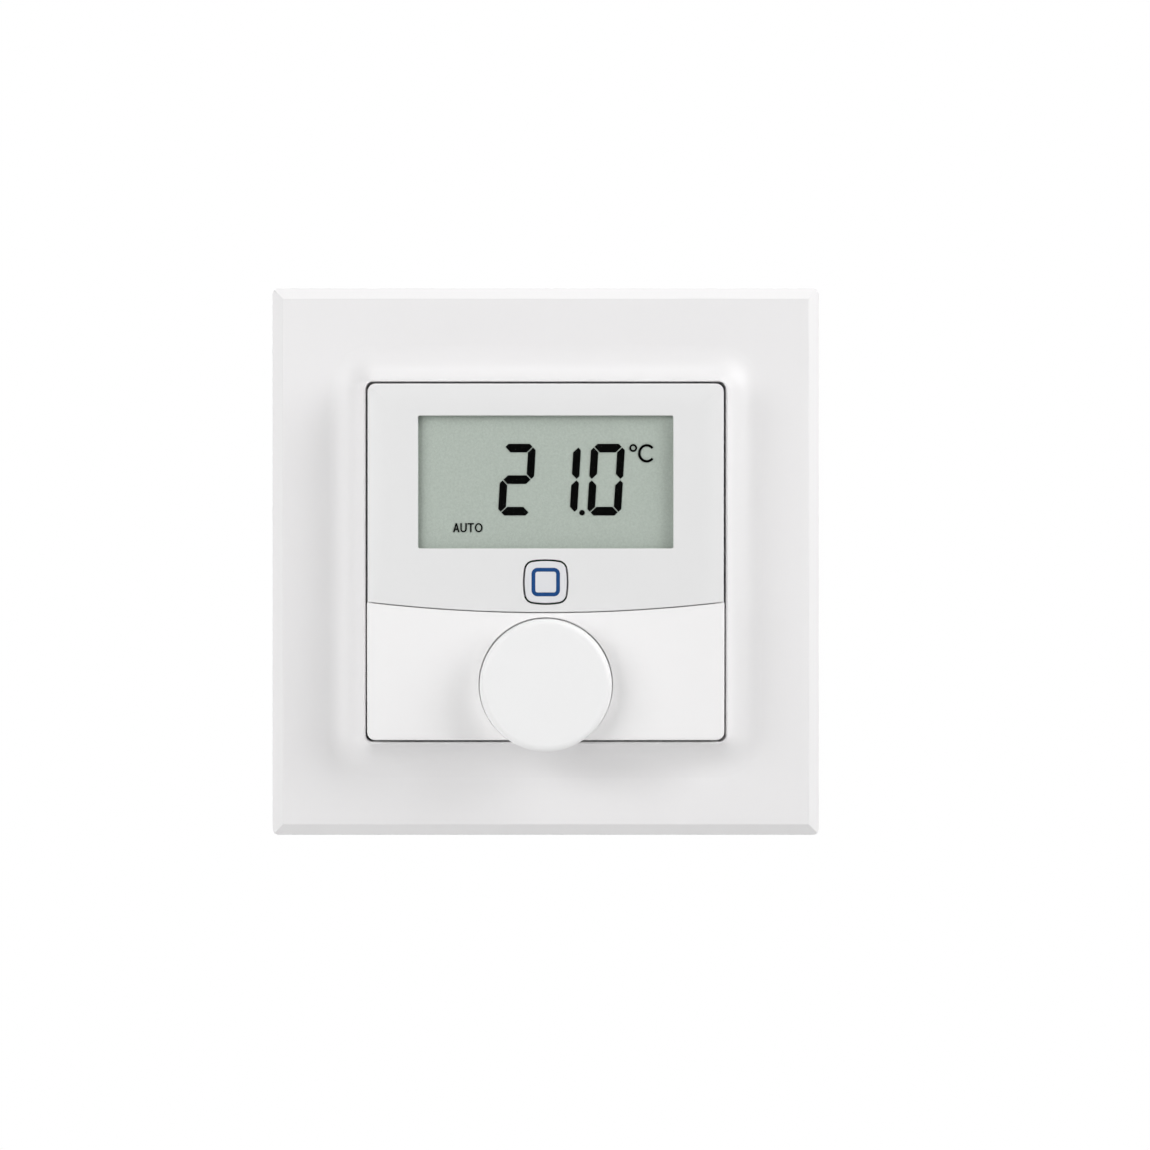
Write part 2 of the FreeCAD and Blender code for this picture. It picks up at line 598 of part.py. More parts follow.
# ---------------------------------------------------------------- front shell and display cover
def seam_cylinder(gap, d0, d1):
    """Everything on the display's side of the curved seam."""
    return rod(SEAM_RADIUS - gap, d0, d1, 0, SEAM_MID_Z + SEAM_RADIUS)


def crowned_front():
    """Prism whose front bulges slightly from top to bottom below the seam."""
    bottom = -UNIT_HALF - OVERCUT
    drop = crown_drop(bottom)
    half_drop = crown_drop((SEAM_MID_Z + bottom) / 2)
    top = UNIT_HALF + OVERCUT
    rear = LAP_DEPTH
    x = -UNIT_HALF - OVERCUT
    edges = [
        arc(Vector(x, drop - UNIT_FACE_DEPTH, bottom),
            Vector(x, half_drop - UNIT_FACE_DEPTH, (SEAM_MID_Z + bottom) / 2),
            Vector(x, -UNIT_FACE_DEPTH, SEAM_MID_Z)),
        line(Vector(x, -UNIT_FACE_DEPTH, SEAM_MID_Z), Vector(x, -UNIT_FACE_DEPTH, top)),
        line(Vector(x, -UNIT_FACE_DEPTH, top), Vector(x, -rear, top)),
        line(Vector(x, -rear, top), Vector(x, -rear, bottom)),
        line(Vector(x, -rear, bottom), Vector(x, drop - UNIT_FACE_DEPTH, bottom)),
    ]
    return face_from(edges).extrude(Vector(2 * (UNIT_HALF + OVERCUT), 0, 0))


def crown_drop(z):
    """How far the crowned panel has fallen back at height z."""
    return PANEL_CROWN_RADIUS - math.sqrt(PANEL_CROWN_RADIUS ** 2 - (z - SEAM_MID_Z) ** 2)


def front_shell():
    """Front case with the lower panel, and the recessed seat of the display cover above it."""
    body = rounded_block(UNIT_SIZE, UNIT_SIZE, UNIT_CORNER_RADIUS, LAP_DEPTH, UNIT_FACE_DEPTH)
    body = body.common(crowned_front())
    front = [e for e in body.Edges if e.BoundBox.YMin < -COVER_REAR and not runs_along_depth(e)]
    body = body.makeFillet(PANEL_EDGE_RADIUS, front)
    body = body.cut(seam_cylinder(0, COVER_REAR, UNIT_FACE_DEPTH + OVERCUT))
    hollow = rounded_block(
        SHELL_INNER, SHELL_INNER, INNER_CORNER_RADIUS, LAP_DEPTH - OVERCUT, SEAT_REAR)
    body = body.cut(hollow)
    low_pocket = block(SHELL_INNER, SHELL_INNER, SEAT_REAR - OVERCUT, PANEL_REAR)
    body = body.cut(low_pocket.cut(seam_cylinder(-SHELL_WALL, 0, UNIT_FACE_DEPTH)))
    bosses = []
    for x, z in CORNERS:
        ceiling = SEAT_REAR if z > 0 else PANEL_REAR
        bosses.append(rod(BOSS_RADIUS, BOARD_FRONT, ceiling + SEAT_THICKNESS / 2, x, z))
    body = union(body, *bosses)
    thread = CASE_SCREW_RADIUS + THREAD_CLEARANCE
    cuts = [
        rod(thread, BOARD_FRONT - OVERCUT, CASE_SCREW_TIP + THREAD_CLEARANCE, x, z)
        for x, z in CORNERS
    ]
    cuts.append(knob_well())
    cuts.append(holder_pocket(SEAT_REAR - OVERCUT, COVER_REAR))
    ear_hole = BUTTON_SIZE + 2 * (BUTTON_FLANGE + BUTTON_FLANGE_CLEARANCE)
    cap_hole = BUTTON_SIZE + 2 * BUTTON_FLANGE_CLEARANCE
    cuts.append(block(ear_hole, cap_hole, SEAT_REAR - OVERCUT, COVER_REAR, 0, BUTTON_Z))
    cuts.append(rod(
        BUSHING_RADIUS + BUSHING_CLEARANCE, PANEL_REAR - OVERCUT, UNIT_FACE_DEPTH + OVERCUT, 0, KNOB_Z))
    for i in range(VENT_COUNT):
        x = VENT_X + (i - (VENT_COUNT - 1) / 2) * VENT_PITCH
        cuts.append(box(
            x - VENT_WIDTH / 2, x + VENT_WIDTH / 2, BOARD_FRONT + SENSOR_SIZE[2] / 2, SEAT_REAR,
            -UNIT_HALF - OVERCUT, -SHELL_INNER / 2 + SHELL_WALL / 2))
    return body.cut(Part.makeCompound(cuts))


def knob_well():
    """Round recess that the knob's skirt dips into. It is open at the bottom of the unit."""
    return rod(KNOB_RADIUS + KNOB_WELL_GAP, KNOB_WELL_FLOOR, UNIT_FACE_DEPTH + OVERCUT, 0, KNOB_Z)


def rolled_profile(width, roll, drop, start, length, along_x):
    """Prism with both long front edges rolled back along an arc."""
    half = width / 2
    radius = (roll ** 2 + drop ** 2) / (2 * drop)
    middle = radius - math.sqrt(radius ** 2 - (roll / 2) ** 2)
    front = UNIT_FACE_DEPTH
    rear = COVER_REAR

    def at(u, d):
        return Vector(start, -d, u) if along_x else Vector(u, -d, start)

    edges = [
        line(at(-half, rear), at(half, rear)),
        line(at(half, rear), at(half, front - drop)),
        arc(at(half, front - drop), at(half - roll / 2, front - middle), at(half - roll, front)),
        line(at(half - roll, front), at(roll - half, front)),
        arc(at(roll - half, front), at(roll / 2 - half, front - middle), at(-half, front - drop)),
        line(at(-half, front - drop), at(-half, rear)),
    ]
    return face_from(edges).extrude(Vector(length, 0, 0) if along_x else Vector(0, 0, length))


def display_cover():
    """Cover plate over the display half, with rolled outer borders that meet in a mitre."""
    size = UNIT_SIZE - 2 * COVER_INSET
    plan = rounded_block(
        size, size, UNIT_CORNER_RADIUS - COVER_INSET, COVER_REAR, UNIT_FACE_DEPTH)
    run = UNIT_SIZE + 2 * OVERCUT
    cover = plan.common(rolled_profile(size, COVER_ROLL, COVER_DROP, -run / 2, run, False))
    cover = cover.common(rolled_profile(size, COVER_ROLL, COVER_DROP, -run / 2, run, True))
    cover = cover.common(seam_cylinder(SEAM_GAP, COVER_REAR - OVERCUT, UNIT_FACE_DEPTH + OVERCUT))
    front = UNIT_FACE_DEPTH + OVERCUT
    window = rounded_block(
        WINDOW_WIDTH, WINDOW_HEIGHT, WINDOW_CORNER_RADIUS, COVER_REAR - OVERCUT, front, 0, WINDOW_Z)
    pocket = holder_pocket(COVER_REAR - OVERCUT, POCKET_FRONT)
    hole = button_prism(BUTTON_GAP, COVER_REAR - OVERCUT, front)
    cover = cover.cut(Part.makeCompound([window, pocket, hole, knob_well()]))
    return cover.makeFillet(WINDOW_EDGE_RADIUS, [e for e in cover.Edges if on_window_edge(e)])


def on_window_edge(edge):
    """True for the front edges of the display window."""
    if not at_depth(edge, UNIT_FACE_DEPTH):
        return False
    middle = edge.CenterOfMass
    return abs(middle.x) < WINDOW_WIDTH / 2 + 1e-3 and abs(middle.z - WINDOW_Z) < WINDOW_HEIGHT / 2 + 1e-3


def holder_pocket(d0, d1):
    """Room for the display holder in the shells."""
    half = HOLDER_HALF + POCKET_CLEARANCE
    return box(-half, half, d0, d1, HOLDER_BOTTOM - POCKET_CLEARANCE, HOLDER_TOP + POCKET_CLEARANCE)


# ---------------------------------------------------------------- display
def lcd_glass():
    """Two glass sheets with a sealed cell between them. The front sheet reaches further up."""
    half = GLASS_WIDTH / 2
    front = box(-half, half, CELL_FRONT, FRONT_GLASS_FRONT, GLASS_BOTTOM, FRONT_GLASS_TOP)
    rear = box(-half, half, REAR_FILM_FRONT, CELL_REAR, GLASS_BOTTOM, GLASS_TOP)
    seal = box(-half, half, CELL_REAR, CELL_FRONT, GLASS_BOTTOM, GLASS_TOP)
    seal = seal.cut(box(
        CELL_SEAL - half, half - CELL_SEAL, CELL_REAR, CELL_FRONT,
        GLASS_BOTTOM + CELL_SEAL, GLASS_TOP - CELL_SEAL))
    return union(front, rear, seal)


def film(front):
    width = WINDOW_WIDTH + 2 * FILM_MARGIN
    height = WINDOW_HEIGHT + 2 * FILM_MARGIN
    return block(width, height, front - FILM_THICKNESS, front, 0, WINDOW_Z)


def front_polariser():
    return film(FRONT_FILM_FRONT)


def rear_reflector():
    return film(REAR_FILM_FRONT)


def backlight_guide():
    """Light-spreading plate behind the display."""
    half = GLASS_WIDTH / 2
    return box(-half, half, GUIDE_REAR, GUIDE_FRONT, GLASS_BOTTOM, GLASS_TOP)


def lcd_holder():
    """Frame on the board that carries the guide and the glass on an inner ledge."""
    half = GLASS_WIDTH / 2 + HOLDER_CLEARANCE
    bottom = GLASS_BOTTOM - HOLDER_CLEARANCE
    top = FRONT_GLASS_TOP + HOLDER_CLEARANCE
    frame = box(-HOLDER_HALF, HOLDER_HALF, BOARD_FRONT, FRONT_GLASS_FRONT, HOLDER_BOTTOM, HOLDER_TOP)
    well = box(-half, half, GUIDE_REAR, FRONT_GLASS_FRONT + OVERCUT, bottom, top)
    light_well = box(
        -LIGHT_WELL_HALF, LIGHT_WELL_HALF, BOARD_FRONT - OVERCUT, GUIDE_REAR,
        bottom + HOLDER_LEDGE, GLASS_TOP - HOLDER_LEDGE)
    strip_half = GLASS_WIDTH / 2 - STRIP_END_INSET + HOLDER_CLEARANCE
    strip_reach = STRIP_WIDTH / 2 + HOLDER_CLEARANCE
    strip_slot = box(
        -strip_half, strip_half, BOARD_FRONT - OVERCUT, GUIDE_REAR,
        LEDGE_Z - strip_reach, LEDGE_Z + strip_reach)
    return frame.cut(Part.makeCompound([well, light_well, strip_slot]))


def contact_strip():
    """Elastic strip that joins the ledge of the front glass to the board."""
    half = GLASS_WIDTH / 2 - STRIP_END_INSET
    return box(-half, half, BOARD_FRONT, CELL_FRONT, LEDGE_Z - STRIP_WIDTH / 2, LEDGE_Z + STRIP_WIDTH / 2)


def backlight_leds():
    width, height, depth = LED_SIZE
    leds = []
    for i in range(BACKLIGHT_COUNT):
        x = BACKLIGHT_X * (2 * i / (BACKLIGHT_COUNT - 1) - 1)
        leds.append(block(width, height, BOARD_FRONT, BOARD_FRONT + depth, x, WINDOW_Z))
    return Part.makeCompound(leds)


# ---------------------------------------------------------------- characters
def patch(points):
    """Thin prism of a polygon in the plane of the liquid crystal."""
    depth = CELL_FRONT - SEGMENT_THICKNESS
    corners = [Vector(x, -depth, z) for x, z in points]
    return Part.Face(Part.makePolygon(corners + corners[:1])).extrude(Vector(0, -SEGMENT_THICKNESS, 0))


def leaning(points):
    """Points of an upright digit, leant to the right."""
    return [(x + (z - DIGIT_Z) * SLANT, z) for x, z in points]


def segment(start, end, stroke, outward):
    """Straight segment of a digit with pointed ends. The tips lie on the line from start to end,
    and the stroke reaches further on the side that the outward share is counted from."""
    length = math.hypot(end[0] - start[0], end[1] - start[1])
    ux = (end[0] - start[0]) / length
    uz = (end[1] - start[1]) / length
    shift = stroke * outward
    near = stroke / 2 - shift
    far = stroke / 2 + shift
    outline = [
        (DIGIT_BREAK, 0), (DIGIT_BREAK + near, near), (length - DIGIT_BREAK - near, near),
        (length - DIGIT_BREAK, 0), (length - DIGIT_BREAK - far, -far), (DIGIT_BREAK + far, -far),
    ]
    return patch(leaning([(start[0] + t * ux - n * uz, start[1] + t * uz + n * ux) for t, n in outline]))


def digit(left_x, names):
    """Seven-segment digit from the named segments a to g."""
    side = DIGIT_POST * (0.5 - DIGIT_TIP_SHARE)
    rise = DIGIT_BAR * (0.5 - DIGIT_TIP_SHARE)
    x0 = left_x + side
    x1 = left_x + DIGIT_WIDTH - side
    z0 = DIGIT_Z + rise
    z2 = DIGIT_Z + DIGIT_HEIGHT - rise
    z1 = (z0 + z2) / 2
    lines = {
        "a": ((x0, z2), (x1, z2), DIGIT_BAR, DIGIT_TIP_SHARE),
        "b": ((x1, z2), (x1, z1), DIGIT_POST, DIGIT_TIP_SHARE),
        "c": ((x1, z1), (x1, z0), DIGIT_POST, DIGIT_TIP_SHARE),
        "d": ((x1, z0), (x0, z0), DIGIT_BAR, DIGIT_TIP_SHARE),
        "e": ((x0, z0), (x0, z1), DIGIT_POST, DIGIT_TIP_SHARE),
        "f": ((x0, z1), (x0, z2), DIGIT_POST, DIGIT_TIP_SHARE),
        "g": ((x0, z1), (x1, z1), DIGIT_BAR, 0),
    }
    return [segment(*lines[name]) for name in names]


def bars(left_x, base, size, stroke, lines):
    """Character from straight bars, whose middle lines are given in shares of its width and height."""
    width, height = size
    parts = []
    for u0, v0, u1, v1 in lines:
        x0 = left_x + u0 * width
        z0 = base + v0 * height
        run = (u1 - u0) * width
        rise = (v1 - v0) * height
        side_x = -rise / math.hypot(run, rise) * stroke / 2
        side_z = run / math.hypot(run, rise) * stroke / 2
        parts.append(patch([
            (x0 + side_x, z0 + side_z), (x0 + run + side_x, z0 + rise + side_z),
            (x0 + run - side_x, z0 + rise - side_z), (x0 - side_x, z0 - side_z)]))
    return union(*parts)


def curved_band(centre, half_size, stroke, start, end):
    """Part of an oval ring between two angles in degrees, counted from the right towards the top."""
    angles = [
        math.radians(start + (end - start) * i / BAND_STEPS) for i in range(BAND_STEPS + 1)
    ]
    outer = [oval_point(centre, half_size, 0, angle) for angle in angles]
    inner = [oval_point(centre, half_size, stroke, angle) for angle in reversed(angles)]
    return patch(outer + inner)


def oval_point(centre, half_size, inset, angle):
    x = centre[0] + (half_size[0] - inset) * math.cos(angle)
    z = centre[1] + (half_size[1] - inset) * math.sin(angle)
    return x, z


def unit_letter():
    """Round capital of the temperature's unit, open on the right."""
    half_width = UNIT_LETTER_SIZE[0] / 2
    half_height = UNIT_LETTER_SIZE[1] / 2
    centre = (UNIT_LETTER_LEFT_X + half_width, UNIT_LETTER_Z + half_height)
    return curved_band(
        centre, (half_width, half_height), UNIT_LETTER_STROKE,
        UNIT_LETTER_OPENING, 360 - UNIT_LETTER_OPENING)


def mode_text():
    """The word for automatic mode in plain capitals."""
    width, height = MODE_LETTER_SIZE
    stroke = MODE_LETTER_STROKE
    base = MODE_TEXT_Z
    left = [MODE_TEXT_LEFT_X + i * MODE_LETTER_PITCH for i in range(4)]
    side = stroke / 2 / width
    edge = stroke / 2 / height
    bowl_top = width / 2 / height
    first = bars(left[0], base, MODE_LETTER_SIZE, stroke, [
        (side, 0, 0.5, 1), (0.5, 1, 1 - side, 0), (0.25, 0.33, 0.75, 0.33)])
    sides = bars(left[1], base, MODE_LETTER_SIZE, stroke, [
        (side, bowl_top, side, 1), (1 - side, bowl_top, 1 - side, 1)])
    bowl = curved_band((left[1] + width / 2, base + width / 2), (width / 2, width / 2), stroke, 180, 360)
    third = bars(left[2], base, MODE_LETTER_SIZE, stroke, [
        (0, 1 - edge, 1, 1 - edge), (0.5, 1 - edge, 0.5, 0)])
    centre = (left[3] + MODE_ROUND_WIDTH / 2, base + height / 2)
    half_size = (MODE_ROUND_WIDTH / 2, height / 2)
    halves = [curved_band(centre, half_size, stroke, start, start + 180) for start in (0, 180)]
    return [first, union(sides, bowl), third, union(*halves)]


def degree_ring():
    rear = CELL_FRONT - SEGMENT_THICKNESS
    ring = rod(DEGREE_RADIUS, rear, CELL_FRONT, DEGREE_X, DEGREE_Z)
    hole = rod(
        DEGREE_RADIUS - DEGREE_STROKE, rear - OVERCUT, CELL_FRONT + OVERCUT, DEGREE_X, DEGREE_Z)
    return ring.cut(hole)


def display_segments():
    """Darkened areas of the display: a temperature of 21.0 degrees and the automatic mode."""
    shapes = digit(DIGIT_LEFT_X[0], "abged")
    shapes += digit(DIGIT_LEFT_X[1], "bc")
    shapes += digit(DIGIT_LEFT_X[2], "abcdef")
    rear = CELL_FRONT - SEGMENT_THICKNESS
    shapes.append(rod(POINT_RADIUS, rear, CELL_FRONT, POINT_X, DIGIT_Z + POINT_RADIUS))
    shapes.append(degree_ring())
    shapes.append(unit_letter())
    return Part.makeCompound(shapes + mode_text())


# ---------------------------------------------------------------- button and switch
def button_prism(grow, d0, d1):
    """Outline of the button, grown by this much all round."""
    return squircle(
        BUTTON_SIZE + 2 * grow, BUTTON_BOW_RADIUS + grow, BUTTON_CORNER_RADIUS + grow, d0, d1, 0, BUTTON_Z)


def ring_prism(grow, d0, d1):
    size = RING_SIZE + 2 * grow
    return rounded_block(size, size, RING_CORNER_RADIUS + grow, d0, d1, 0, BUTTON_Z)


def system_button():
    """Button cap with an ear on each side behind the cover and a groove for the light ring."""
    cap = button_prism(0, FLANGE_REAR, BUTTON_FACE)
    edge = [e for e in cap.Edges if at_depth(e, BUTTON_FACE)]
    cap = cap.makeFillet(BUTTON_EDGE_RADIUS, edge)
    ears = BUTTON_SIZE + 2 * BUTTON_FLANGE
    cap = union(
        cap, block(ears, BUTTON_EAR_HEIGHT, FLANGE_REAR, FLANGE_FRONT, 0, BUTTON_Z),
        rod(PLUNGER_RADIUS, PLUNGER_FRONT, FLANGE_REAR, 0, BUTTON_Z))
    return cap.cut(ring_solid())


def ring_solid():
    outer = ring_prism(0, RING_REAR, BUTTON_FACE)
    return outer.cut(ring_prism(-RING_WIDTH, RING_REAR - OVERCUT, BUTTON_FACE + OVERCUT))


def status_light_ring():
    return ring_solid()


def switch_body():
    body = block(SWITCH_SIZE, SWITCH_SIZE, BOARD_FRONT, SWITCH_FRONT, 0, BUTTON_Z)
    floor = SWITCH_FRONT - PLUNGER_INSIDE - BUTTON_TRAVEL - END_CLEARANCE
    return body.cut(rod(PLUNGER_RADIUS + SLIDING_CLEARANCE, floor, SWITCH_FRONT + OVERCUT, 0, BUTTON_Z))


def switch_plunger():
    return rod(PLUNGER_RADIUS, SWITCH_FRONT - PLUNGER_INSIDE, PLUNGER_FRONT, 0, BUTTON_Z)


def status_leds():
    """One small LED on each side of the switch."""
    height, width, depth = LED_SIZE
    x = SWITCH_SIZE / 2 + SLIDING_CLEARANCE + width
    return Part.makeCompound([
        block(width, height, BOARD_FRONT, BOARD_FRONT + depth, side * x, BUTTON_Z) for side in (-1, 1)
    ])


# ---------------------------------------------------------------- encoder and knob
def encoder_base():
    base = block(ENCODER_SIZE, ENCODER_SIZE, BOARD_FRONT, ENCODER_BASE_FRONT, 0, KNOB_Z)
    return base.cut(rod(ROTOR_RADIUS + ROTOR_CLEARANCE, BOARD_FRONT + PUSH_FLOOR,
                        ENCODER_BASE_FRONT + OVERCUT, 0, KNOB_Z))


def encoder_bushing():
    """Cover sheet of the encoder with the bearing of the shaft."""
    sheet = block(ENCODER_SIZE, ENCODER_SIZE, ENCODER_BASE_FRONT, ENCODER_FRONT, 0, KNOB_Z)
    tube = rod(BUSHING_RADIUS, ENCODER_BASE_FRONT, BUSHING_FRONT, 0, KNOB_Z)
    bore_radius = SHAFT_RADIUS + RUNNING_CLEARANCE
    bore = rod(bore_radius, ENCODER_BASE_FRONT - OVERCUT, BUSHING_FRONT + OVERCUT, 0, KNOB_Z)
    return union(sheet, tube).cut(bore)


def encoder_plunger():
    """Disc under the shaft that the knob presses in."""
    return rod(PUSH_RADIUS, PUSH_REAR, SHAFT_REAR, 0, KNOB_Z)


def d_shaft(grow, d0, d1):
    """Round bar with a flat on its upper side."""
    radius = SHAFT_RADIUS + grow
    flat = SHAFT_RADIUS - SHAFT_FLAT + grow
    return rod(radius, d0, d1, 0, KNOB_Z).cut(
        box(-radius - OVERCUT, radius + OVERCUT, d0 - OVERCUT, d1 + OVERCUT,
            KNOB_Z + flat, KNOB_Z + radius + OVERCUT))


def encoder_shaft():
    """Shaft with its rotor disc. The part inside the knob has a flat."""
    flat_start = KNOB_HUB_REAR - SHAFT_FIT
    return union(
        rod(SHAFT_RADIUS, SHAFT_REAR, flat_start, 0, KNOB_Z),
        rod(ROTOR_RADIUS, ROTOR_FRONT - ROTOR_THICKNESS, ROTOR_FRONT, 0, KNOB_Z),
        d_shaft(0, flat_start - SHAFT_FIT, SHAFT_FRONT))


def adjustment_knob():
    """Hollow knob with a hub on the shaft and ribs underneath."""
    knob = rod(KNOB_RADIUS, KNOB_REAR, KNOB_FACE, 0, KNOB_Z)
    edge = [e for e in knob.Edges if at_depth(e, KNOB_FACE)]
    knob = knob.makeFillet(KNOB_EDGE_RADIUS, edge)
    inner_face = KNOB_FACE - KNOB_WALL
    knob = knob.cut(rod(KNOB_RADIUS - KNOB_WALL, KNOB_REAR - OVERCUT, inner_face, 0, KNOB_Z))
    hub_front = KNOB_FACE - KNOB_WALL / 2
    pieces = [rod(SHAFT_RADIUS + KNOB_HUB_WALL, KNOB_HUB_REAR, hub_front, 0, KNOB_Z)]
    for i in range(KNOB_RIBS):
        rib = box(
            SHAFT_RADIUS + KNOB_HUB_WALL / 2, KNOB_RADIUS - KNOB_WALL / 2,
            KNOB_HUB_REAR + KNOB_WALL / 2, hub_front,
            KNOB_Z - KNOB_RIB_WIDTH / 2, KNOB_Z + KNOB_RIB_WIDTH / 2)
        rib.rotate(Vector(0, 0, KNOB_Z), Vector(0, 1, 0), 360 / KNOB_RIBS * (i + 0.5))
        pieces.append(rib)
    knob = union(knob, *pieces)
    return knob.cut(d_shaft(SHAFT_FIT, KNOB_HUB_REAR - OVERCUT, SHAFT_FRONT + SHAFT_FIT))


# ---------------------------------------------------------------- board and its parts
def circuit_board():
    board = block(BOARD_SIZE, BOARD_SIZE, BOARD_REAR, BOARD_FRONT)
    cuts = [
        rod(CASE_SCREW_RADIUS + HEAD_CLEARANCE, BOARD_REAR - OVERCUT, BOARD_FRONT + OVERCUT, x, z)
        for x, z in CORNERS
    ]
    x, z = SENSOR_PLACE
    reach = SENSOR_SIZE[0] / 2 + SENSOR_SLOT_GAP
    cuts.append(box(
        x - reach, x + reach + SENSOR_SLOT, BOARD_REAR - OVERCUT, BOARD_FRONT + OVERCUT,
        z + reach, z + reach + SENSOR_SLOT))
    cuts.append(box(
        x + reach, x + reach + SENSOR_SLOT, BOARD_REAR - OVERCUT, BOARD_FRONT + OVERCUT,
        z - reach, z + reach))
    return board.cut(Part.makeCompound(cuts))


def on_board(size, place):
    width, height, depth = size
    return block(width, height, BOARD_FRONT, BOARD_FRONT + depth, *place)


def microcontroller():
    """Square chip with leads on all four sides."""
    width, _, depth = CHIP_SIZE
    x, z = CHIP_PLACE
    body = block(width, width, BOARD_FRONT + PIN_THICKNESS / 2, BOARD_FRONT + depth, x, z)
    pins = []
    for turn in range(4):
        for i in range(CHIP_PINS):
            offset = (i - (CHIP_PINS - 1) / 2) * PIN_PITCH
            pin = box(
                x + width / 2 - PIN_THICKNESS, x + width / 2 + PIN_LENGTH,
                BOARD_FRONT, BOARD_FRONT + PIN_THICKNESS,
                z + offset - PIN_WIDTH / 2, z + offset + PIN_WIDTH / 2)
            pin.rotate(Vector(x, 0, z), Vector(0, 1, 0), 90 * turn)
            pins.append(pin)
    return union(body, *pins)


def radio_module():
    """Small board with a shielding can."""
    width, height, depth = RADIO_SHIELD
    x, z = RADIO_PLACE
    base = on_board(RADIO_BOARD, RADIO_PLACE)
    front = BOARD_FRONT + RADIO_BOARD[2]
    return union(base, block(width, height, front, front + depth, x, z))


def antenna_wire():
    """Bent wire that leaves the radio module and runs up beside the display."""
    start_x = RADIO_PLACE[0] + RADIO_BOARD[0] / 2 - ANTENNA_BEND / 2
    z = RADIO_PLACE[1] + RADIO_BOARD[1] / 2 - ANTENNA_INSET
    depth = BOARD_FRONT + ANTENNA_RISE
    y = -depth
    bend = ANTENNA_BEND
    corner = bend * (1 - math.sqrt(0.5))
    path = Part.Wire([
        line(Vector(start_x, y, z), Vector(ANTENNA_X - bend, y, z)),
        arc(Vector(ANTENNA_X - bend, y, z), Vector(ANTENNA_X - corner, y, z + corner),
            Vector(ANTENNA_X, y, z + bend)),
        line(Vector(ANTENNA_X, y, z + bend), Vector(ANTENNA_X, y, ANTENNA_TOP_Z)),
    ])
    profile = Part.Wire(Part.makeCircle(ANTENNA_RADIUS, Vector(start_x, y, z), Vector(1, 0, 0)))
    return path.makePipeShell([profile], True, False)


def antenna():
    """Antenna with the post that carries it on the radio module."""
    x = RADIO_PLACE[0] + RADIO_BOARD[0] / 2 - ANTENNA_BEND / 2
    z = RADIO_PLACE[1] + RADIO_BOARD[1] / 2 - ANTENNA_INSET
    post = rod(ANTENNA_RADIUS, BOARD_FRONT + RADIO_BOARD[2], BOARD_FRONT + ANTENNA_RISE, x, z)
    return union(antenna_wire(), post)


def climate_sensor():
    return on_board(SENSOR_SIZE, SENSOR_PLACE)


def buffer_capacitor():
    x, z = CAPACITOR_PLACE
    can = rod(CAPACITOR_RADIUS, BOARD_FRONT, BOARD_FRONT + CAPACITOR_HEIGHT, x, z)
    edge = [e for e in can.Edges if at_depth(e, BOARD_FRONT + CAPACITOR_HEIGHT)]
    return can.makeFillet(ANTENNA_RADIUS, edge)


def board_passives():
    """Rows of small resistors and capacitors."""
    parts = []
    for x, z in PASSIVE_ROWS:
        for i in range(PASSIVE_COUNT):
            parts.append(on_board(PASSIVE_SIZE, (x + i * PASSIVE_PITCH, z)))
    return Part.makeCompound(parts)


# ---------------------------------------------------------------- case screws
def case_screws():
    return Part.makeCompound([case_screw(x, z) for x, z in CORNERS])


def case_screw(x, z):
    head_rear = CASE_SCREW_SEAT - CASE_SCREW_HEAD_HEIGHT
    screw = union(
        rod(CASE_SCREW_HEAD_RADIUS, head_rear, CASE_SCREW_SEAT, x, z),
        rod(CASE_SCREW_RADIUS, head_rear, CASE_SCREW_TIP, x, z))
    reach = head_rear + DRIVE_SLOT
    slot = block(DRIVE_LENGTH, DRIVE_SLOT, head_rear - OVERCUT, reach, x, z)
    cross = block(DRIVE_SLOT, DRIVE_LENGTH, head_rear - OVERCUT, reach, x, z)
    return screw.cut(Part.makeCompound([slot, cross]))


# ---------------------------------------------------------------- batteries and contacts
def battery_cell(z, direction):
    """Cell lying along X with its positive tip towards this side."""
    start = -direction * (BAY_LENGTH / 2 - CONTACT_THICKNESS - SPRING_SPACE)
    axis = Vector(direction, 0, 0)
    body_length = BATTERY_LENGTH - BATTERY_TIP_HEIGHT
    body = Part.makeCylinder(BATTERY_RADIUS, body_length, Vector(start, -CELL_DEPTH, z), axis)
    body = body.makeFillet(BATTERY_EDGE_RADIUS, [e for e in body.Edges if e.BoundBox.XLength < 1e-3])
    tip = Part.makeCylinder(
        BATTERY_TIP_RADIUS, BATTERY_LENGTH - body_length / 2,
        Vector(start + direction * body_length / 2, -CELL_DEPTH, z), axis)
    return union(body, tip)


def battery_cell_upper():
    return battery_cell(CELL_ROWS[0], 1)


def battery_cell_lower():
    return battery_cell(CELL_ROWS[1], -1)


def contact_plate(side, z0, z1):
    """Contact sheet against one end wall of the bays."""
    outer = side * BAY_LENGTH / 2
    inner = outer - side * CONTACT_THICKNESS
    half = CONTACT_SIZE / 2
    return box(
        min(inner, outer), max(inner, outer), CELL_DEPTH - half, CELL_DEPTH + half,
        z0 - half, z1 + half)


def battery_bridge():
    """One sheet that joins both cells at the right-hand end."""
    return contact_plate(1, CELL_ROWS[1], CELL_ROWS[0])


def battery_terminals():
    """Separate sheets at the left-hand end, one for each cell."""
    return Part.makeCompound([contact_plate(-1, z, z) for z in CELL_ROWS])


def battery_springs():
    """Coil springs behind the flat ends of the cells."""
    return Part.makeCompound([coil_spring(-1, CELL_ROWS[0]), coil_spring(1, CELL_ROWS[1])])


